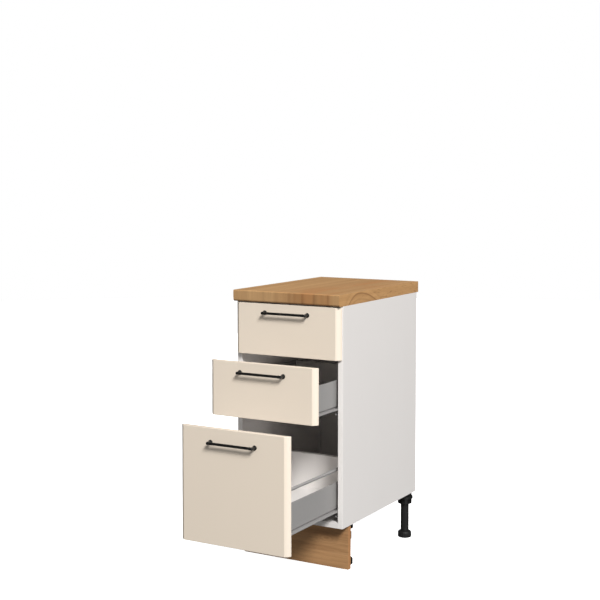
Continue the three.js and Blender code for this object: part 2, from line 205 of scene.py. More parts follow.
def bumped(tree, shader, height, depth):
    """depth in millimetres"""
    inputs = {"Height": height, "Strength": 1.0, "Distance": depth * MM}
    tree.links.new(put(tree, "ShaderNodeBump", inputs).outputs[0], shader.inputs["Normal"])


def drive(tree, shader, socket, value):
    tree.links.new(value, shader.inputs[socket])


# ---- Coated and raw surfaces ------------------------------------------------------------

def coated(name, color, roughness, grain, depth, variation, specular=0.5):
    """A lacquered, powder-coated, moulded or melamine face.

    Its skin is finely pebbled: grain is the size of the pebbles and depth their height, in
    millimetres. The tone is slightly uneven, by variation up and down.
    """
    clouds_per_metre, skin_share = 9.0, 0.3
    smoother, rougher = 0.05, 0.07
    material, tree, shader = shader_of(name, color, roughness, specular=specular)
    point = point_of(tree)
    skin = noise(tree, point, 1 / (grain * MM), 2.0, 0.6)
    clouds = noise(tree, point, clouds_per_metre, 3.0, 0.6)
    tone = plus(tree, times(tree, clouds, 1 - skin_share), times(tree, skin, skin_share))
    base = mixed(tree, tone, shade(color, 1 - variation), shade(color, 1 + variation))
    drive(tree, shader, "Base Color", base)
    drive(tree, shader, "Roughness", between(tree, skin, roughness - smoother, roughness + rougher))
    bumped(tree, shader, skin, depth)
    return material


def chipboard(name):
    """The raw edge of a particle board: flat chips of several tones with dark pits."""
    chips_per_metre, pits_per_metre = 520.0, 1400.0
    material, tree, shader = shader_of(name, CHIPBOARD, 0.85, specular=0.2)
    point = point_of(tree)
    inputs = {"Vector": point, "Scale": chips_per_metre, "Randomness": 1.0}
    chip = put(tree, "ShaderNodeTexVoronoi", inputs)
    pits = noise(tree, point, pits_per_metre, 3.0, 0.6)
    tone = put(tree, "ShaderNodeSeparateColor", {0: chip.outputs["Color"]}).outputs[0]
    base = mixed(tree, tone, shade(CHIPBOARD, 0.62), shade(CHIPBOARD, 1.25))
    base = mixed(tree, ramp(tree, pits, ((0.35, 0.55), (0.5, 0.0))), base, shade(CHIPBOARD, 0.4))
    drive(tree, shader, "Base Color", base)
    drive(tree, shader, "Roughness", between(tree, pits, 0.78, 0.92))
    bumped(tree, shader, plus(tree, chip.outputs["Distance"], pits), 0.25)
    return material


def fibreboard(name, color, roughness):
    """Pressed fibre sheet: short dark and light fibres over soft clouds."""
    fibres_per_metre, clouds_per_metre = (520.0, 900.0, 300.0), 22.0
    material, tree, shader = shader_of(name, color, roughness, specular=0.3)
    point = point_of(tree)
    fibres = noise(tree, stretched(tree, point, fibres_per_metre), 1.0, 4.0, 0.7, 1.5)
    clouds = noise(tree, point, clouds_per_metre, 4.0, 0.6)
    base = mixed(tree, clouds, shade(color, 0.88), shade(color, 1.1))
    base = mixed(tree, ramp(tree, fibres, ((0.36, 0.5), (0.5, 0.0))), base, shade(color, 0.6))
    base = mixed(tree, ramp(tree, fibres, ((0.58, 0.0), (0.7, 0.35))), base, shade(color, 1.4))
    drive(tree, shader, "Base Color", base)
    drive(tree, shader, "Roughness", between(tree, fibres, roughness - 0.06, roughness + 0.06))
    bumped(tree, shader, fibres, 0.08)
    return material


def zinc_plate(name):
    """Bright zinc, a little cloudy."""
    clouds_per_metre, grains_per_metre = 240.0, 2600.0
    material, tree, shader = shader_of(name, ZINC, 0.34, metallic=1.0)
    point = point_of(tree)
    clouds = noise(tree, point, clouds_per_metre, 3.0, 0.6)
    grains = noise(tree, point, grains_per_metre, 2.0, 0.5)
    drive(tree, shader, "Base Color", mixed(tree, clouds, shade(ZINC, 0.8), shade(ZINC, 1.15)))
    drive(tree, shader, "Roughness", between(tree, clouds, 0.26, 0.48))
    bumped(tree, shader, grains, 0.015)
    return material


# ---- Printed oak ------------------------------------------------------------------------

def laminate(name, grain, tones, figure):
    """Printed oak under a satin wear layer.

    grain gives, from the parts of a point, how far it lies along the grain, across it and
    into the wood, in metres; scales are per metre in the same order. tones are light,
    middle, dark and streak. figure adds this board's own marks.
    """
    wander_scale, band_scale, band_shift = (3.0, 14.0, 3.0), (1.6, 38.0, 3.0), (3.1, 0.7, 0.0)
    fibre_scale, pore_scale = (7.0, 330.0, 8.0), (45.0, 900.0, 60.0)
    bend, evenness, pore_height = 16 * MM, 0.45, 0.6
    light, middle, dark, streak = tones
    material, tree, shader = shader_of(name, middle, 0.5, specular=0.25)
    parts = parts_of(tree, point_of(tree))
    along, across, through = grain(tree, parts)
    straight = joined(tree, along, across, through)
    wander = noise(tree, stretched(tree, straight, wander_scale))
    aside = times(tree, minus(tree, wander, 0.5), bend)
    bent = joined(tree, along, plus(tree, across, aside), through)
    bands = noise(tree, stretched(tree, bent, band_scale, band_shift), roughness=0.55)
    fibres = noise(tree, stretched(tree, bent, fibre_scale), detail=4.0, roughness=0.65)
    pores = noise(tree, stretched(tree, bent, pore_scale), detail=2.0)
    base = mixed(tree, ramp(tree, bands, ((0.30, 0.0), (0.50, 0.45), (0.70, 1.0))), dark, light)
    base = mixed(tree, evenness, base, middle)
    base = mixed(tree, ramp(tree, fibres, ((0.38, 0.30), (0.56, 0.0))), base, dark)
    base = figure(tree, parts, base, wander, streak)
    base = mixed(tree, ramp(tree, pores, ((0.30, 0.38), (0.37, 0.0))), base, streak)
    drive(tree, shader, "Base Color", base)
    drive(tree, shader, "Roughness", between(tree, fibres, 0.44, 0.58))
    bumped(tree, shader, plus(tree, times(tree, pores, pore_height), fibres), 0.06)
    return material


def worktop_grain(tree, parts):
    """From front to back on top, and on down the rounded front edge; one layer all over."""
    layer = 0.31
    return plus(tree, parts[1], parts[2]), parts[0], layer


def worktop_end_grain(tree, parts):
    """From front to back, with a layer of its own on each end."""
    layers = 9.0
    return parts[1], parts[2], times(tree, parts[0], layers)


def plinth_grain(tree, parts):
    """From left to right."""
    return parts[0], parts[2], parts[1]


# dark marks over the worktop's width, from 0 at its left end to 1, and how dark each is
WORKTOP_MARKS = (
    (0.0, 0.12), (0.06, 0.0), (0.11, 0.22), (0.14, 0.02), (0.255, 0.05), (0.275, 0.30),
    (0.29, 0.05), (0.37, 0.02), (0.40, 0.28), (0.43, 0.06), (0.50, 0.12), (0.525, 0.50),
    (0.55, 0.16), (0.575, 0.55), (0.60, 0.30), (0.63, 0.18), (0.645, 0.95), (0.665, 0.45),
    (0.69, 0.02), (0.735, 0.10), (0.747, 0.75), (0.77, 0.40), (0.79, 0.02), (0.825, 0.30),
    (0.85, 0.05), (0.872, 0.25), (0.882, 1.0), (0.894, 0.10), (0.93, 0.0), (1.0, 0.15),
)


def worktop_figure(low, high):
    """Dark marks that run front to back and on down the front edge, stronger to the right.

    Red heartwood shows in patches on the right, and the front edge is paler on the left and
    has painted shade along its foot. low and high are the corners of the board.
    """
    wave, shift = 5 * MM, 9 * MM
    edge_top, painted_shade_height = high.z - 1.5 * MM, 6 * MM
    edge_marks, top_marks, red_share = 0.90, 0.38, 0.80
    patch_scale, patch_shift = (16.0, 4.0, 1.0), (4.3, 1.9, 0.0)

    def figure(tree, parts, base, wander, streak):
        x = plus(tree, parts[0], times(tree, wander, wave))
        place = ratio(tree, plus(tree, x, high.x - shift), 2 * high.x)
        flow = joined(tree, parts[0], plus(tree, parts[1], parts[2]))
        patch = noise(tree, stretched(tree, flow, patch_scale, patch_shift), roughness=0.6)
        on_edge = maths(tree, "LESS_THAN", parts[2], edge_top)
        strength = plus(tree, times(tree, on_edge, edge_marks), times(tree, patch, top_marks))
        marks = times(tree, ramp(tree, place, WORKTOP_MARKS), strength, clamp=True)
        base = mixed(tree, marks, base, streak)
        right = ramp(tree, place, ((0.36, 0.0), (0.62, 1.0), (0.86, 0.9), (0.95, 0.25)))
        heart = ramp(tree, patch, ((0.44, 0.0), (0.54, 0.55), (0.62, 1.0)))
        base = mixed(tree, times(tree, times(tree, right, heart), red_share), base, OAK_RED)
        pale = times(tree, on_edge, between(tree, right, 0.35, 0.05))
        base = mixed(tree, pale, base, OAK_PALE_EDGE)
        deep = times(tree, on_edge, between(tree, right, 0.14, 0.34))
        base = mixed(tree, deep, base, streak)
        # painted shade: darker towards the foot of the rounded front edge, where shade falls under
        # the nose
        foot = ratio(tree, minus(tree, parts[2], low.z), painted_shade_height)
        return mixed(tree, ramp(tree, foot, ((0.1, 0.75), (0.8, 0.0))), base, shade(streak, 0.6))
    return figure


# rings of the arch, from above it to its inside: 0.2 of the ramp is the height of the board
ARCH_RINGS = (
    (0.0, 0.10), (0.30, 0.0), (0.42, 0.22), (0.44, 0.0), (0.512, 0.0), (0.528, 1.0),
    (0.550, 0.30), (0.60, 0.10), (0.63, 0.45), (0.66, 0.10), (0.72, 0.30), (0.76, 0.1),
)


def arch_figure(low, high):
    """A cathedral of growth rings on the worktop's end, with short dark dashes behind it."""
    peak, near_reach, far_reach = low.y + 140 * MM, 75 * MM, 125 * MM
    droop, wave, ring_share = 0.85, 0.35, 0.80
    board_share, ramp_middle = 0.2, 0.5
    dash_scale, dash_shift = (34.0, 210.0, 1.0), (0.4, 2.0, 0.0)

    def figure(tree, parts, base, wander, streak):
        run = minus(tree, parts[1], peak)
        near = ratio(tree, maths(tree, "MINIMUM", run, 0.0), near_reach)
        far = ratio(tree, maths(tree, "MAXIMUM", run, 0.0), far_reach)
        fall = plus(tree, times(tree, near, near), times(tree, far, far))
        depth = ratio(tree, minus(tree, high.z, parts[2]), high.z - low.z)
        level = minus(tree, depth, times(tree, fall, droop))
        level = plus(tree, level, times(tree, minus(tree, wander, 0.5), wave))
        place = plus(tree, times(tree, level, board_share), ramp_middle)
        rings = ramp(tree, place, ARCH_RINGS)
        base = mixed(tree, times(tree, rings, ring_share), base, streak)
        flow = joined(tree, parts[1], parts[2])
        dashes = noise(tree, stretched(tree, flow, dash_scale, dash_shift), detail=2.0)
        dashes = ramp(tree, dashes, ((0.57, 0.0), (0.67, 0.55)))
        behind = ramp(tree, plus(tree, parts[1], ramp_middle), ((0.50, 0.15), (0.62, 1.0)))
        return mixed(tree, times(tree, dashes, behind), base, streak)
    return figure


# rings of the knot, from its heart outwards: 0.2 of the ramp reaches its rim
KNOT_RINGS = (
    (0.0, 0.9), (0.16, 0.7), (0.24, 0.15), (0.34, 0.45), (0.42, 0.08), (0.55, 0.25),
    (0.64, 0.05), (0.8, 0.1), (1.0, 0.0),
)


def plinth_figure(high):
    """A small knot with rings round it near the right-hand end, faint veins and plain ends.

    high is the highest corner of the board.
    """
    knot_x, knot_z = 118 * MM, high.z - 47 * MM
    knot_width, knot_height = 18 * MM, 7.5 * MM
    knot_share, ragged, ring_share, end_share = 0.2, 0.8, 0.55, 0.8
    end_skin = 0.4 * MM
    vein_scale, vein_shift = (4.0, 62.0, 1.0), (1.7, 0.3, 0.0)

    def figure(tree, parts, base, wander, streak):
        x = ratio(tree, minus(tree, parts[0], knot_x), knot_width)
        z = ratio(tree, minus(tree, parts[2], knot_z), knot_height)
        away = maths(tree, "SQRT", plus(tree, times(tree, x, x), times(tree, z, z)))
        away = plus(tree, away, times(tree, wander, ragged))
        rings = ramp(tree, times(tree, away, knot_share), KNOT_RINGS)
        base = mixed(tree, times(tree, rings, ring_share), base, streak)
        flow = joined(tree, parts[0], parts[2])
        veins = noise(tree, stretched(tree, flow, vein_scale, vein_shift), roughness=0.6)
        veins = ramp(tree, veins, ((0.42, 0.0), (0.52, 0.10), (0.62, 0.30)))
        base = mixed(tree, veins, base, streak)
        at_end = maths(tree, "GREATER_THAN", maths(tree, "ABSOLUTE", parts[0]), high.x - end_skin)
        return mixed(tree, times(tree, at_end, end_share), base, PLINTH_END)
    return figure


# ---- Materials --------------------------------------------------------------------------

OAK_TONES = (OAK_LIGHT, OAK_MIDDLE, OAK_DARK, OAK_STREAK)
# the end bands' tones are 10% lighter than the top's: painted light, for the brightness the worktop's
# ends show under the lamps
OAK_END_TONES_PAINTED_LIGHT = tuple(shade(tone, 1.10) for tone in OAK_TONES)
PLINTH_TONES = (PLINTH_LIGHT, PLINTH_MIDDLE, PLINTH_DARK, shade(PLINTH_DARK, 0.5))

worktop_face = laminate(
    "oak_worktop", worktop_grain, OAK_TONES, worktop_figure(top_low, top_high)
)
worktop_end = laminate(
    "oak_worktop_end", worktop_end_grain, OAK_END_TONES_PAINTED_LIGHT, arch_figure(top_low, top_high)
)
plinth_face = laminate("oak_plinth", plinth_grain, PLINTH_TONES, plinth_figure(plinth_high))
white_board = coated(
    "melamine_white", WHITE, roughness=0.48, grain=1.3, depth=0.05, variation=0.012, specular=0.35
)
# the edge band is a real strip, glossier than the faces; its 7% lighter white is painted light for
# the light its rounded edges catch
edge_band_painted_light = coated(
    "edge_band_white_painted_light", shade(WHITE, 1.07), roughness=0.34, grain=1.6, depth=0.02, variation=0.01
)
back_film = coated(
    "back_white", shade(WHITE, 0.85),
    roughness=0.5, grain=1.3, depth=0.04, variation=0.015, specular=0.3,
)
# white board painted darker for the top and middle drawers' backs: painted shade for the dim interior
# they stand in
drawer_rear_painted_shade = coated(
    "melamine_painted_shade", shade(WHITE, 0.52),
    roughness=0.5, grain=1.3, depth=0.04, variation=0.015, specular=0.3,
)
cream_film = coated("film_cream", CREAM, roughness=0.36, grain=1.0, depth=0.03, variation=0.008)
grey_coat = coated("powder_grey", GREY, roughness=0.42, grain=0.9, depth=0.05, variation=0.04)
runner_coat = coated(
    "powder_runner", RUNNER_GREY, roughness=0.4, grain=0.9, depth=0.05, variation=0.04
)
black_coat = coated(
    "satin_black", BLACK, roughness=0.34, grain=0.6, depth=0.02, variation=0.15, specular=0.35
)
moulded = coated(
    "moulded_black", MOULDED, roughness=0.48, grain=0.5, depth=0.04, variation=0.12, specular=0.28
)
roller_grey = coated("nylon_grey", ROLLER, roughness=0.42, grain=1.2, depth=0.02, variation=0.08)
zinc = zinc_plate("zinc_plated")
raw_edge = chipboard("particle_edge")
raw_back = fibreboard("fibreboard_raw", FIBREBOARD, 0.72)
backing = fibreboard("backing_paper", PAPER, 0.66)


# ---- Meshes -----------------------------------------------------------------------------

ALONG_X = Matrix.Rotation(math.radians(90), 3, "Y")
AGAINST_X = Matrix.Rotation(math.radians(-90), 3, "Y")
TOWARDS_FRONT = Matrix.Rotation(math.radians(90), 3, "X")
TOWARDS_BACK = Matrix.Rotation(math.radians(-90), 3, "X")
OUTWARDS = {-1: AGAINST_X, 1: ALONG_X}
WELD, CAD_WELD = 1e-6, 1e-5


def make(name, bm, body, material, node=None, sharp=32.0, others=()):
    """A piece from bm, in place of the CAD node if one is given.

    Edges of more than sharp degrees stay crisp. others are pairs of a test of a face's
    normal and the material of the faces that pass it.
    """
    bmesh.ops.recalc_face_normals(bm, faces=bm.faces)
    mesh = bpy.data.meshes.new(name)
    bm.to_mesh(mesh)
    bm.free()
    mesh.materials.append(material)
    for index, (test, other) in enumerate(others, 1):
        mesh.materials.append(other)
        for face in mesh.polygons:
            if test(face.normal):
                face.material_index = index
    for face in mesh.polygons:
        face.use_smooth = True
    mesh.set_sharp_from_angle(angle=math.radians(sharp))
    piece = bpy.data.objects.new(name, mesh)
    bpy.context.scene.collection.objects.link(piece)
    weighted = piece.modifiers.new("even_normals", "WEIGHTED_NORMAL")
    weighted.keep_sharp = True
    weighted.weight = 100
    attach(piece, body)
    if node:
        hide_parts(node)


def faces_front(normal):
    """A front face, and the nearer half of its rounded edges."""
    return normal.y < -0.6


def faces_back(normal):
    return normal.y > 0.9


def faces_down(normal):
    return normal.z < -0.9


def refined(node, material, radius=0.4, others=()):
    """The CAD node's shape with every hard edge rounded by radius, in millimetres."""
    flat, hard = math.radians(1), math.radians(40)
    bm = bmesh.new()
    bm.from_mesh(nodes[node].data)
    bmesh.ops.remove_doubles(bm, verts=bm.verts, dist=CAD_WELD)
    bmesh.ops.dissolve_limit(bm, angle_limit=flat, verts=bm.verts, edges=bm.edges)
    edges = [e for e in bm.edges if e.is_manifold and e.calc_face_angle() > hard]
    bmesh.ops.bevel(
        bm, geom=edges, offset=radius * MM, segments=2, affect="EDGES", profile=0.5,
        clamp_overlap=True,
    )
    make(node + "_face", bm, nodes[node]["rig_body"], material, node, others=others)


def ring_of(bm, low, high):
    """Faces between two rows of vertices, each a closed loop or a single point."""
    count = max(len(low), len(high))
    for i in range(count):
        j = (i + 1) % count
        if len(low) == 1:
            bm.faces.new((low[0], high[j], high[i]))
        elif len(high) == 1:
            bm.faces.new((low[i], low[j], high[0]))
        else:
            bm.faces.new((low[i], low[j], high[j], high[i]))


def placed(bm, verts, turn=None, to=(0.0, 0.0, 0.0)):
    """Turn verts round the origin, and then move them to a place in metres."""
    if turn is not None:
        bmesh.ops.rotate(bm, cent=(0, 0, 0), matrix=turn, verts=verts)
    bmesh.ops.translate(bm, vec=Vector(to), verts=verts)


def turned(profile, steps, rule=None, bm=None, turn=None, to=(0.0, 0.0, 0.0)):
    """A closed solid of revolution round Z.

    profile is (r, z) in millimetres, from the axis to the axis, or a ring that ends where
    it starts. rule(angle, r, z) gives the radius.
    """
    bm = bm or bmesh.new()
    closed = profile[0] == profile[-1]
    rows = []
    for r, z in profile[:-1] if closed else profile:
        row = []
        for i in range(steps if r else 1):
            angle = math.tau * i / steps
            radius = (rule(angle, r, z) if rule and r else r) * MM
            row.append(bm.verts.new((radius * math.cos(angle), radius * math.sin(angle), z * MM)))
        rows.append(row)
    for low, high in zip(rows, rows[1:] + rows[:1] if closed else rows[1:]):
        ring_of(bm, low, high)
    placed(bm, [v for row in rows for v in row], turn, to)
    return bm


def arc(across, up, radius, start, end, steps):
    """Points of an arc round (across, up), with its start and end in degrees."""
    points = []
    for i in range(steps + 1):
        angle = math.radians(start + (end - start) * i / steps)
        points.append((across + radius * math.cos(angle), up + radius * math.sin(angle)))
    return points


def middle_of(node):
    low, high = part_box(node)
    return (low + high) / 2


# ---- Screws -----------------------------------------------------------------------------

# radius and height of each kind of head
CLIP_SCREW, TAB_SCREW, REAR_SCREW, RUNNER_SCREW = (3.2, 1.6), (3.6, 2.0), (3.6, 1.6), (3.4, 1.3)
HANDLE_BOLT = (4.2, 2.4)


def screw_head(bm, at, turn, radius, height):
    """A pan head with a cross recess, seated at a point, that faces along turn's Z.

    slot and reach are half the width and the length of the cross, as shares of the radius.
    """
    steps, slot, reach, recess = 32, 0.17, 0.62, 0.9 * MM
    profile = [(0, 0), (radius * 0.96, 0), (radius, height * 0.25)]
    for a in (0.35, 0.7, 1.05):
        profile.append((radius * math.cos(a), height * (0.25 + 0.75 * math.sin(a))))
    profile += [(radius * share, height) for share in (0.42, 0.3, 0.18)] + [(0, height)]
    start = len(bm.verts)
    turned(profile, steps, bm=bm)
    bm.verts.ensure_lookup_table()
    new = bm.verts[start:]
    for v in new:
        u, w = abs(v.co.x) / (radius * MM), abs(v.co.y) / (radius * MM)
        cross = min(u, w) < slot and max(u, w) < reach
        if cross and v.co.z > height * 0.8 * MM:
            v.co.z -= recess
    placed(bm, new, turn, at)


def screws(name, body, places, turn, size):
    bm = bmesh.new()
    for at in places:
        screw_head(bm, at, turn, *size)
    make(name, bm, body, zinc)


# ---- Carcass ----------------------------------------------------------------------------

NOSE_UPPER, NOSE_LOWER = 4.0, 8.0
BAND, BAND_INSET, BAND_ARRIS = 0.8, 0.12, 0.25


def worktop_outline(inset):
    """Rounded in front and square behind, inset millimetres inside the board; in metres."""
    upper, lower = NOSE_UPPER - inset, NOSE_LOWER - inset
    front, back = top_low.y / MM + inset, top_high.y / MM - inset
    low, high = top_low.z / MM + inset, top_high.z / MM - inset
    points = [(back, low), (back, high)]
    points += arc(front + upper, high - upper, upper, 90, 180, 8)
    points += arc(front + lower, low + lower, lower, 180, 270, 12)
    return [(y * MM, z * MM) for y, z in points]


def extruded_along_x(outline, low, high):
    """outline is (y, z) in metres"""
    bm = bmesh.new()
    ends = [[bm.verts.new((x, y, z)) for y, z in outline] for x in (low, high)]
    for end in ends:
        bm.faces.new(end)
    ring_of(bm, *ends)
    return bm


def build_worktop():
    """The board, with its raw edge behind and paper below, and a thin band on each end."""
    end = top_high.x
    bm = extruded_along_x(worktop_outline(0), top_low.x + BAND * MM, end - BAND * MM)
    others = ((faces_down, backing), (faces_back, raw_edge))
    make("worktop_board", bm, "carcass", worktop_face, "worktop", others=others)
    for side, sign in SIDES.items():
        inner, outer = sign * (end - BAND * MM), sign * end
        bm = extruded_along_x(worktop_outline(BAND_INSET), min(inner, outer), max(inner, outer))
        rim = [e for e in bm.edges if all(abs(v.co.x - outer) < WELD for v in e.verts)]
        bmesh.ops.bevel(bm, geom=rim, offset=BAND_ARRIS * MM, segments=2, affect="EDGES", profile=0.5)
        make(f"worktop_band_{side}", bm, "carcass", worktop_end)


def build_carcass():
    build_worktop()
    banded, raw_behind = ((faces_front, edge_band_painted_light),), ((faces_back, raw_back),)
    for side in SIDES:
        refined(f"side_panel_{side}", white_board, radius=0.9, others=banded)
    for node in ("bottom_panel", "top_rail_front", "top_rail_rear"):
        refined(node, white_board)
    refined("back_panel", back_film, radius=0.2, others=raw_behind)


# ---- Legs -------------------------------------------------------------------------------

LEG_RADIUS, LEG_BORE, BORE_DEPTH = 14.5, 10.3, 60.0
FLUTE, FLUTES, FLUTE_START, FLUTE_END = 0.9, 16, 9.0, 34.0
SOCKET_RADIUS, SOCKET_CORE, SOCKET_RIBS, SOCKET_PLAY = 25.0, 20.0, 12, 0.3
COLLAR_RADIUS, COLLAR_DROP, COLLAR_HEIGHT = 28.5, 12.0, 9.0
FOOT_HEIGHT, FOOT_NOTCHES, FOOT_NOTCH = 23.0, 16, 1.3
STEM_RADIUS, THREAD_PITCH, THREAD_DEPTH = 10.0, 3.0, 0.9
COLUMN_STEPS, SOCKET_STEPS, FOOT_STEPS, LEG_SHARP = 128, 192, 96, 40


def column_profile(low, high):
    """A tube with a blind bore from below and a plain band at each end of its flutes."""
    r, bore = LEG_RADIUS, LEG_BORE
    return [
        (0, low + BORE_DEPTH), (bore, low + BORE_DEPTH), (bore, low + 0.5), (bore + 0.4, low),
        (r - 0.6, low), (r, low + 0.6), (r, low + FLUTE_START - 1), (r, low + FLUTE_START + 1),
        (r, high - FLUTE_END - 2), (r, high - FLUTE_END + 1), (r, high - 0.4), (r - 0.4, high),
        (0, high),
    ]


def build_leg_column(place):
    node = f"leg_column_{place}"
    low, high = (corner.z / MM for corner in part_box(node))

    def fluted(angle, r, z):
        if r < LEG_RADIUS - 0.1 or not low + FLUTE_START < z < high - FLUTE_END:
            return r
        return r - FLUTE * max(0.0, 1 - abs(math.cos(angle * FLUTES / 2)) * 2.4)

    centre = middle_of(node)
    bm = turned(column_profile(low, high), COLUMN_STEPS, fluted, to=(centre.x, centre.y, 0))
    make(f"leg_tube_{place}", bm, "carcass", moulded, node, LEG_SHARP)


def socket_profile(low, high, roof):
    """A ribbed cup with a wide collar under its flange."""
    inner, r, collar = LEG_RADIUS + SOCKET_PLAY, SOCKET_RADIUS, COLLAR_RADIUS
    collar_top = high + 0.05 - COLLAR_DROP
    collar_low = collar_top - COLLAR_HEIGHT
    return [
        (0, roof), (inner, roof), (inner, low + 0.5), (inner + 0.4, low), (r - 1.5, low),
        (r - 0.4, low + 0.5), (r, low + 1.5), (r, low + 2.8), (r, low + 3.4),
        (r, collar_low - 0.7), (r, collar_low - 0.1), (collar - 0.5, collar_low),
        (collar, collar_low + 0.5), (collar, collar_top - 0.5), (collar - 0.5, collar_top),
        (r, collar_top + 0.1), (r, collar_top + 0.7), (r, high - 2.4), (r, high - 1.8),
        (r, high - 0.3), (r - 0.3, high), (0, high),
    ]


def build_leg_socket(place):
    node = f"leg_socket_{place}"
    low, high = (corner.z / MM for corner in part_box(node))
    column = f"leg_column_{place}"
    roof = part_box(column)[1].z / MM + SOCKET_PLAY

    def ribbed(angle, r, z):
        below = low + 3 < z < high - COLLAR_DROP - COLLAR_HEIGHT - 0.3
        above = high - COLLAR_DROP + 0.3 < z < high - 2
        rib = abs(math.sin(angle * SOCKET_RIBS / 2)) < 0.2
        return SOCKET_CORE if (below or above) and r > SOCKET_CORE and not rib else r

    centre = middle_of(column)
    profile = socket_profile(low, high, roof)
    bm = turned(profile, SOCKET_STEPS, ribbed, to=(centre.x, centre.y, 0))
    make(f"leg_cup_{place}", bm, "carcass", moulded, node, LEG_SHARP)


def foot_profile(r, top):
    """A thick disc with a soft rim, and a stem with two rows to each millimetre for its thread."""
    h, stem = FOOT_HEIGHT, STEM_RADIUS
    profile = [
        (0, 0), (r * 0.90, 0), (r * 0.945, 0.4), (r * 0.985, 1.4), (r, 2.8), (r, 5), (r, 8),
        (r, 12), (r, 15.6), (r * 0.985, 17.4), (r * 0.95, 19.2), (r * 0.885, 21.2),
        (r * 0.76, 22.4), (LEG_RADIUS, h), (stem, h),
    ]
    levels = int((top - h) * 2)
    profile += [(stem, h + (top - h) * i / levels) for i in range(1, levels)]
    return profile + [(stem, top - 0.5), (stem - 1, top), (0, top)]


def build_leg_foot(place):
    node = f"leg_foot_{place}"
    low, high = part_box(node)
    radius, top = (high.x - low.x) / 2 / MM, (high.z - low.z) / MM

    def knurled(angle, r, z):
        if r > radius - 0.5 and 2.0 < z < 17.5:
            return r - FOOT_NOTCH * max(0.0, math.cos(angle * FOOT_NOTCHES)) ** 3
        if r <= STEM_RADIUS and FOOT_HEIGHT + 1 < z < top - 1:
            phase = (z / THREAD_PITCH - angle / math.tau) % 1.0
            return r - THREAD_DEPTH * abs(2 * phase - 1)
        return r

    centre = middle_of(f"leg_column_{place}")
    bm = turned(foot_profile(radius, top), FOOT_STEPS, knurled, to=(centre.x, centre.y, low.z))
    make(f"leg_pad_{place}", bm, f"foot_{place}", moulded, node, LEG_SHARP)


# ---- Plinth -----------------------------------------------------------------------------

CLIP_PLATE, CLIP_SPREAD, CLIP_RISE = 3.0, 15.0, 12.5


def build_plinth():
    refined("plinth_board", plinth_face, radius=0.5)
    for side in SIDES:
        clip = f"plinth_clip_{side}"
        refined(clip, moulded, radius=0.35)
        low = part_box(clip)[0]
        x, y, z = middle_of(clip).x, low.y + CLIP_PLATE * MM, low.z + CLIP_RISE * MM
        places = [(x + way * CLIP_SPREAD * MM, y, z) for way in (-1, 1)]
        screws(f"plinth_clip_screws_{side}", "plinth", places, TOWARDS_BACK, CLIP_SCREW)


# ---- Drawers ----------------------------------------------------------------------------

CHAMFER, BULGE, BULGE_STEPS = 15.5, 60.0, 12
ARRIS, ARRIS_STEPS = 1.5, 6


def front_outline(half, face, back, inset):
    """(x, y) of a front, inset millimetres inside its sides and face."""
    reach = BULGE * math.cos(math.pi / 4 - math.asin(CHAMFER * math.sqrt(0.5) / BULGE))
    radius = BULGE - inset
    lean = math.degrees(math.acos((reach - inset) / radius))
    outline = [(half - inset, back - ARRIS), (half - ARRIS, back - inset)]
    outline += [(ARRIS - half, back - inset), (inset - half, back - ARRIS)]
    outline += arc(reach - half, face + reach, radius, 180 + lean, 270 - lean, BULGE_STEPS)
    outline += arc(half - reach, face + reach, radius, 270 + lean, 360 - lean, BULGE_STEPS)
    return outline


def build_front(name):
    """Film-wrapped on the face and edges, with a bulging chamfer down both upright edges."""
    node = f"{name}_drawer_front"
    low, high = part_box(node)
    levels = []
    for step in range(ARRIS_STEPS + 1):
        angle = math.pi / 2 * step / ARRIS_STEPS
        levels.append((ARRIS * (1 - math.cos(angle)), ARRIS * (1 - math.sin(angle))))
    heights = [(low.z / MM + z, inset) for z, inset in levels]
    heights += [(high.z / MM - z, inset) for z, inset in reversed(levels)]
    bm = bmesh.new()
    rows = []
    for z, inset in heights:
        outline = front_outline(high.x / MM, low.y / MM, high.y / MM, inset)
        rows.append([bm.verts.new((x * MM, y * MM, z * MM)) for x, y in outline])
    for below, above in zip(rows, rows[1:]):
        ring_of(bm, below, above)
    for end in (rows[0], rows[-1]):
        bm.faces.new(end)
    bmesh.ops.remove_doubles(bm, verts=bm.verts, dist=WELD)
    inside = ((faces_back, white_board),)
    make(node + "_panel", bm, name + "_drawer", cream_film, node, 20, inside)


ROSETTE_RADIUS, POST_RADIUS, KNUCKLE_RADIUS, BAR_RADIUS = 7.5, 4.5, 5.0, 4.3
BAR_COLLAR_SHIFT, HANDLE_STEPS, KNUCKLE_STEPS = 7.5, 32, 14


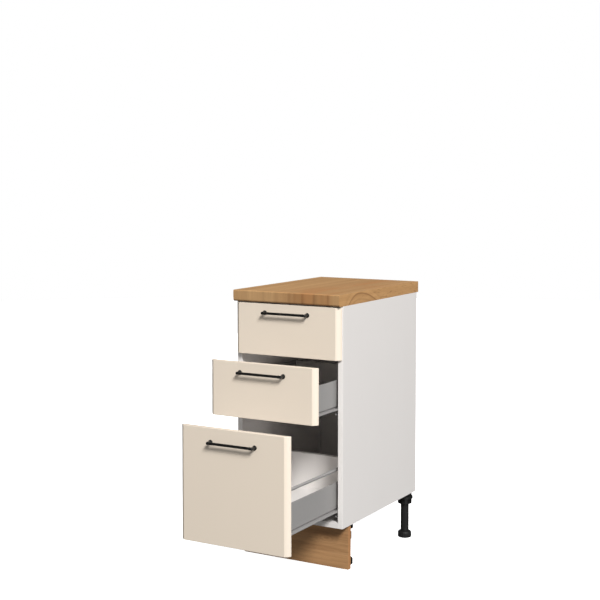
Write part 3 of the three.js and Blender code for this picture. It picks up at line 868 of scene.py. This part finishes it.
def build_handle(name):
    """A round bar between two ball knuckles on posts, each post on a stepped rosette."""
    node = f"{name}_drawer_handle"
    low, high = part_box(node)
    seat, bar_y, bar_z = high.y, low.y + KNUCKLE_RADIUS * MM, (low.z + high.z) / 2
    half = high.x - ROSETTE_RADIUS * MM
    reach, stand = half / MM, (seat - bar_y) / MM
    bar = [(BAR_RADIUS, z) for z in (-reach, 4 - reach, reach - 4, reach)]
    bar = [(0, -reach)] + bar + [(0, reach)]
    post = [
        (0, 0), (7.0, 0), (ROSETTE_RADIUS, 0.5), (ROSETTE_RADIUS, 1.9), (7.1, 2.6), (6.0, 3.0),
        (5.2, 3.4), (4.7, 4.4), (POST_RADIUS, 5.6), (POST_RADIUS, stand - 4), (POST_RADIUS, stand),
        (0, stand),
    ]
    knuckle = [(r, z) for z, r in arc(0, 0, KNUCKLE_RADIUS, 180, 0, KNUCKLE_STEPS)]
    knuckle[0], knuckle[-1] = (0, -KNUCKLE_RADIUS), (0, KNUCKLE_RADIUS)
    collar = [(0, -1.6), (4.5, -1.6), (4.8, -1.2), (4.8, 1.2), (4.5, 1.6), (0, 1.6)]
    bm = bmesh.new()
    turned(bar, HANDLE_STEPS, bm=bm, turn=ALONG_X, to=(0, bar_y, bar_z))
    for sign in SIDES.values():
        x = sign * half
        inward = x - sign * BAR_COLLAR_SHIFT * MM
        turned(post, HANDLE_STEPS, bm=bm, turn=TOWARDS_FRONT, to=(x, seat, bar_z))
        turned(knuckle, HANDLE_STEPS, bm=bm, turn=ALONG_X, to=(x, bar_y, bar_z))
        turned(collar, HANDLE_STEPS, bm=bm, turn=ALONG_X, to=(inward, bar_y, bar_z))
    make(node + "_bar", bm, name + "_drawer", black_coat, node, sharp=40)
    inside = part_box(f"{name}_drawer_front")[1].y
    places = [(sign * half, inside, bar_z) for sign in SIDES.values()]
    screws(f"{name}_handle_bolts", name + "_drawer", places, TOWARDS_BACK, HANDLE_BOLT)


SIDE_HEIGHT, TAB_PLATE = 94.0, 1.5
WALL_FACE, TAB_MIDDLE = 4.3, 11.5
TAB_SCREW_RISES, REAR_SCREW_RISES = (38, 57, 76), (32, 72)


def build_side(name, side, sign):
    """A folded steel side, screwed to the front by its tab and to the drawer's back."""
    node = f"{name}_drawer_side_{side}"
    body = name + "_drawer"
    refined(node, grey_coat, radius=0.45)
    low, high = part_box(node)
    lip = high.z - SIDE_HEIGHT * MM
    back = f"{name}_drawer_back"
    wall = sign * (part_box(back)[1].x + WALL_FACE * MM)
    tab = wall - sign * TAB_MIDDLE * MM
    places = [(tab, low.y + TAB_PLATE * MM, lip + rise * MM) for rise in TAB_SCREW_RISES]
    screws(f"{name}_tab_screws_{side}", body, places, TOWARDS_BACK, TAB_SCREW)
    places = [(wall, middle_of(back).y, lip + rise * MM) for rise in REAR_SCREW_RISES]
    screws(f"{name}_rear_screws_{side}", body, places, OUTWARDS[sign], REAR_SCREW)


HUB_RADIUS, WEB_RECESS, ROLLER_BORE, ROLLER_STEPS = 4.4, 1.1, 2.8, 48


def build_roller(node):
    """A moulded wheel with a rounded rim, a recessed web and a hub round its stub."""
    low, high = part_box(node)
    half, radius = (high.x - low.x) / 2 / MM, (high.z - low.z) / 2 / MM
    web = half - WEB_RECESS
    face = [
        (ROLLER_BORE, half), (HUB_RADIUS, half), (HUB_RADIUS + 0.2, web), (radius - 1.7, web),
        (radius - 1.5, half), (radius - 0.7, half), (radius, half - 0.7),
    ]
    profile = [(r, -x) for r, x in face] + face[::-1] + [(ROLLER_BORE, -half)]
    bm = turned(profile, ROLLER_STEPS, turn=ALONG_X, to=middle_of(node))
    body = nodes[node]["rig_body"]
    make(node + "_wheel", bm, body, roller_grey, node, sharp=35)


RUNNER_WEB, RUNNER_SCREW_SHARES = 1.2, (0.16, 0.5, 0.93)


def build_runner(name, side, sign):
    """Screwed to the carcass side at three places along its length."""
    node = f"{name}_runner_{side}"
    refined(node, runner_coat, radius=0.3)
    low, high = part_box(node)
    web = sign * (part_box("bottom_panel")[1].x - RUNNER_WEB * MM)
    z = (low.z + high.z) / 2
    places = [(web, low.y + share * (high.y - low.y), z) for share in RUNNER_SCREW_SHARES]
    screws(f"{name}_runner_screws_{side}", "carcass", places, OUTWARDS[-sign], RUNNER_SCREW)


RAIL_RADIUS, RAIL_STEPS = 5.0, 40


def build_gallery(side):
    """A round rail with a turned collar at each end."""
    node = f"deep_gallery_rail_{side}"
    low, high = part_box(node)
    length, cap = (high.y - low.y) / MM, (high.z - low.z) / 2 / MM
    near = [(0, 0), (cap - 0.6, 0), (cap, 0.6), (cap, 5.2), (cap - 0.8, 6.0), (RAIL_RADIUS, 6.0)]
    far = [(r, length - z) for r, z in reversed(near)]
    centre = middle_of(node)
    bm = turned(near + far, RAIL_STEPS, turn=TOWARDS_BACK, to=(centre.x, low.y, centre.z))
    make(node + "_tube", bm, "deep_drawer", grey_coat, node, sharp=40)


def build_drawer(name):
    build_front(name)
    build_handle(name)
    refined(f"{name}_drawer_bottom", white_board)
    # the top and middle drawers' backs take the darkened board, which is painted shade
    refined(f"{name}_drawer_back", white_board if name == "deep" else drawer_rear_painted_shade)
    for side, sign in SIDES.items():
        build_side(name, side, sign)
        build_roller(f"{name}_drawer_roller_{side}")
        build_roller(f"{name}_runner_roller_{side}")
        build_runner(name, side, sign)
        if name == "deep":
            build_gallery(side)


build_carcass()
for place in LEGS:
    build_leg_column(place)
    build_leg_socket(place)
    build_leg_foot(place)
build_plinth()
for drawer in DRAWERS:
    build_drawer(drawer)


# ---- Stage, light and camera, in metres, watts and degrees ------------------------------

FLOOR_RADIUS, FLOOR_DROP, FLOOR_GLOW = 9.0, 0.4 * MM, 0.92
FLOOR_DARK, FLOOR_PALE = (0.88, 0.88, 0.88), (0.92, 0.92, 0.92)


def build_floor():
    """A pale floor that the camera sees, and that throws no light on the object."""
    bm = bmesh.new()
    bmesh.ops.create_circle(bm, cap_ends=True, segments=96, radius=FLOOR_RADIUS)
    placed(bm, bm.verts[:], to=(0, 0, -FLOOR_DROP))
    mesh = bpy.data.meshes.new("floor")
    bm.to_mesh(mesh)
    bm.free()
    material, tree, shader = shader_of("floor_pale", FLOOR_PALE, 0.9, specular=0.0)
    point = point_of(tree)
    drive(tree, shader, "Base Color", mixed(tree, noise(tree, point, 3.0), FLOOR_DARK, FLOOR_PALE))
    shader.inputs["Emission Color"].default_value = (1.0, 1.0, 1.0, 1.0)
    shader.inputs["Emission Strength"].default_value = FLOOR_GLOW
    mesh.materials.append(material)
    floor = bpy.data.objects.new("floor", mesh)
    bpy.context.scene.collection.objects.link(floor)
    floor.visible_diffuse = False
    floor.visible_glossy = False
    floor.visible_shadow = False


PLAIN, WARM, COOL = (1.0, 1.0, 1.0), (1.0, 0.995, 0.985), (0.98, 0.99, 1.0)
AIM = Vector((0, -0.1, 0.5))
AMBIENT, AMBIENT_BELOW, AMBIENT_GLOSS = 0.34, 0.17, 0.12
HORIZON_STEEPNESS = 5.0


def softbox(name, power, distance, azimuth, elevation, width, height, tint=PLAIN):
    """A rectangular light that faces the middle of the object."""
    lamp = bpy.data.lights.new(name, "AREA")
    lamp.shape = "RECTANGLE"
    lamp.size, lamp.size_y = width, height
    lamp.energy = power
    lamp.color = tint
    light = bpy.data.objects.new(name, lamp)
    round_z = Matrix.Rotation(math.radians(azimuth), 3, "Z")
    turn = round_z @ Matrix.Rotation(math.radians(90 - elevation), 3, "X")
    light.rotation_euler = turn.to_euler()
    light.location = AIM + turn @ Vector((0, 0, distance))
    light.visible_camera = False
    bpy.context.scene.collection.objects.link(light)
    return light


def build_surroundings():
    """Even light from all round, weaker from below and in reflections; white to the camera."""
    world = bpy.data.worlds.new("studio")
    world.use_nodes = True
    tree = world.node_tree
    background = tree.nodes["Background"]
    path = put(tree, "ShaderNodeLightPath", {}).outputs
    seen, glossy = path["Is Camera Ray"], path["Is Glossy Ray"]
    tree.links.new(mixed(tree, seen, COOL, PLAIN), background.inputs["Color"])
    way = put(tree, "ShaderNodeTexCoord", {}).outputs["Generated"]
    height = parts_of(tree, way)[2]
    above = plus(tree, times(tree, height, HORIZON_STEEPNESS), 0.5, clamp=True)
    strength = between(tree, above, AMBIENT_BELOW, AMBIENT)
    strength = between(tree, glossy, strength, AMBIENT_GLOSS)
    strength = between(tree, seen, strength, 1.0)
    tree.links.new(strength, background.inputs["Strength"])
    bpy.context.scene.world = world


def build_light():
    """A key light from the right, a tall strip for sheen and a fill from the left behind."""
    build_surroundings()
    softbox(
        "key", power=1700.0, distance=12.0, azimuth=46.5, elevation=38.5, width=3.3, height=3.3,
        tint=WARM,
    )
    strip = softbox(
        "strip", power=60.0, distance=4.0, azimuth=62.0, elevation=0.0, width=1.3, height=4.0
    )
    strip.visible_diffuse = False
    fill = softbox(
        "fill", power=185.0, distance=6.0, azimuth=225.0, elevation=0.0, width=2.0, height=2.4
    )
    fill.visible_glossy = False


CAMERA_PLACE = (2.03110, -3.55178, 1.29824)
CAMERA_AZIMUTH, CAMERA_DIP = 30.0, 3.005
CAMERA_LENS, CAMERA_SENSOR, CAMERA_SHIFT = 73.767, 36.0, -0.10


def build_camera():
    camera = bpy.data.cameras.new("camera")
    camera.sensor_width = CAMERA_SENSOR
    camera.lens = CAMERA_LENS
    camera.shift_y = CAMERA_SHIFT
    camera.clip_end = 100.0
    eye = bpy.data.objects.new("camera", camera)
    eye.location = CAMERA_PLACE
    eye.rotation_euler = (math.radians(90 - CAMERA_DIP), 0, math.radians(CAMERA_AZIMUTH))
    bpy.context.scene.collection.objects.link(eye)
    bpy.context.scene.camera = eye


build_floor()
build_light()
build_camera()

scene = bpy.context.scene
scene.view_settings.view_transform = "Standard"
scene.cycles.max_bounces = 6
scene.cycles.diffuse_bounces = 4
scene.cycles.glossy_bounces = 2
